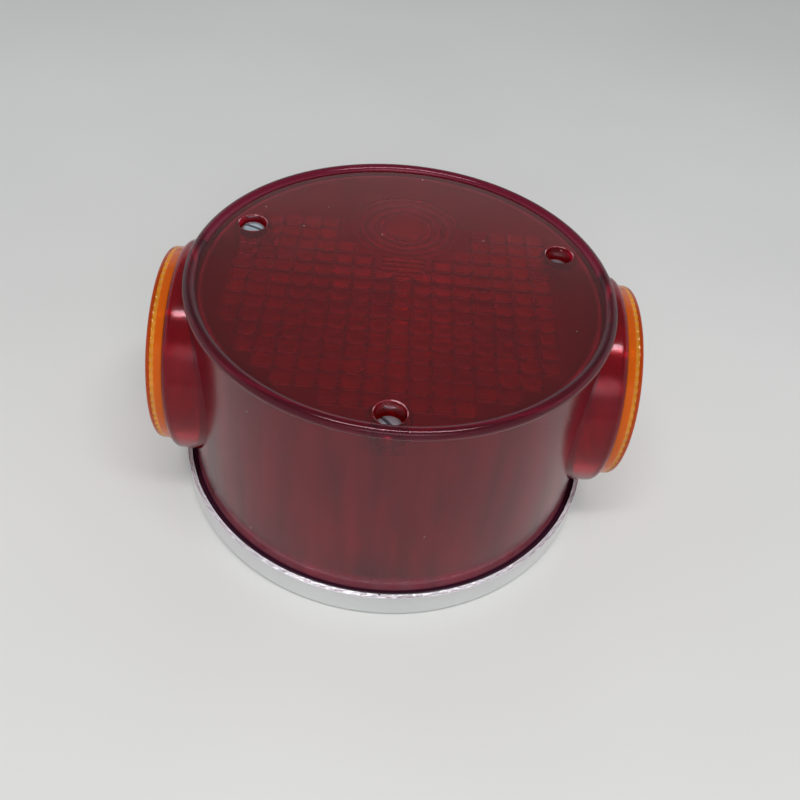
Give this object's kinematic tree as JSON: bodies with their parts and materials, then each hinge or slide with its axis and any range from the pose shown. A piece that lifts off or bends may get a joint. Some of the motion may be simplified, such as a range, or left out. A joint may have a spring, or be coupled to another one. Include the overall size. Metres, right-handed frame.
{
  "type": "motorcycle tail light",
  "caption": "Round motorcycle tail light: red cup lens in a chrome base pan, amber side reflectors, lens screws in wells and a bayonet bulb inside.",
  "frame": {"origin": "centre of the back (mounting) face of the base pan, on the lamp's axis", "axes": "+Z out through the lens face, +X to the right-hand side reflector seen from the front with the number-plate side at +Y, +Y to the number-plate side; in use +Z points rearwards from the motorcycle and -Y points up"},
  "size_m": [0.1352, 0.128, 0.0718],
  "materials": {
    "red_lens": "glossy transparent red acrylic",
    "clear_lens": "clear acrylic",
    "amber_lens": "glossy transparent amber acrylic",
    "chrome_plate": "bright chrome on pressed steel",
    "zinc_screw": "bright zinc plate",
    "zinc_steel": "zinc plated steel",
    "spring_steel": "bright spring wire",
    "nickel_brass": "nickel plated brass",
    "brass_cap": "bright brass",
    "brass": "plain brass",
    "black_rubber": "moulded rubber",
    "phenolic": "brown laminated phenolic",
    "fibre": "red vulcanised fibre",
    "black_glass": "black glass insulator",
    "solder": "solder",
    "bulb_glass": "clear glass",
    "tungsten": "tungsten wire"
  },
  "bodies": {
    "base": {"base_pan": "chrome_plate", "lens_gasket": "black_rubber", "screw_posts": "zinc_steel", "mounting_nuts": "zinc_steel", "wire_grommet": "black_rubber", "earth_tab": "brass", "earth_rivet": "zinc_steel", "socket_shell": "nickel_brass", "socket_rivets": "zinc_steel", "socket_base": "phenolic", "socket_spring": "spring_steel"},
    "contacts": {"contact_carrier": "phenolic", "contact_studs": "brass"},
    "bulb": {"bulb_cap": "brass_cap", "bulb_pins": "brass_cap", "bulb_insulator": "black_glass", "bulb_contacts": "solder", "bulb_glass": "bulb_glass", "bulb_stem": "bulb_glass", "bulb_supports": "spring_steel", "brake_filament": "tungsten", "tail_filament": "tungsten"},
    "lens": {"lens_shell": "red_lens", "lens_face": "red_lens", "boss_left": "red_lens", "boss_right": "red_lens", "plate_window": "clear_lens", "reflector_left": "amber_lens", "reflector_right": "amber_lens", "screw_washers": "fibre"},
    "screw_front": {"screw_front": "zinc_screw"},
    "screw_left": {"screw_left": "zinc_screw"},
    "screw_right": {"screw_right": "zinc_screw"}
  },
  "joints": [
    {"name": "lens_lift", "type": "slide", "parent": "base", "child": "lens", "axis": [0, 0, 1], "range_m": [0, 0.085]},
    {"name": "screw_front_turn", "type": "hinge", "parent": "lens", "child": "screw_front", "pos_m": [-0.00123, -0.05229, 0.06], "axis": [0, 0, 1], "continuous": true},
    {"name": "screw_left_turn", "type": "hinge", "parent": "lens", "child": "screw_left", "pos_m": [-0.04478, 0.02005, 0.06], "axis": [0, 0, 1], "continuous": true},
    {"name": "screw_right_turn", "type": "hinge", "parent": "lens", "child": "screw_right", "pos_m": [0.04568, 0.01792, 0.06], "axis": [0, 0, 1], "continuous": true},
    {"name": "contact_plunge", "type": "slide", "parent": "base", "child": "contacts", "axis": [0, 0, 1], "range_m": [-0.0022, 0], "stiffness_N_per_m": 1500, "springref_m": 0.002, "deforming": ["socket_spring"]},
    {"name": "bulb_turn", "type": "hinge", "parent": "contacts", "child": "bulb", "pos_m": [0, 0.0265, 0.03], "axis": [0, 0, 1], "range_deg": [0, 20]}
  ]
}
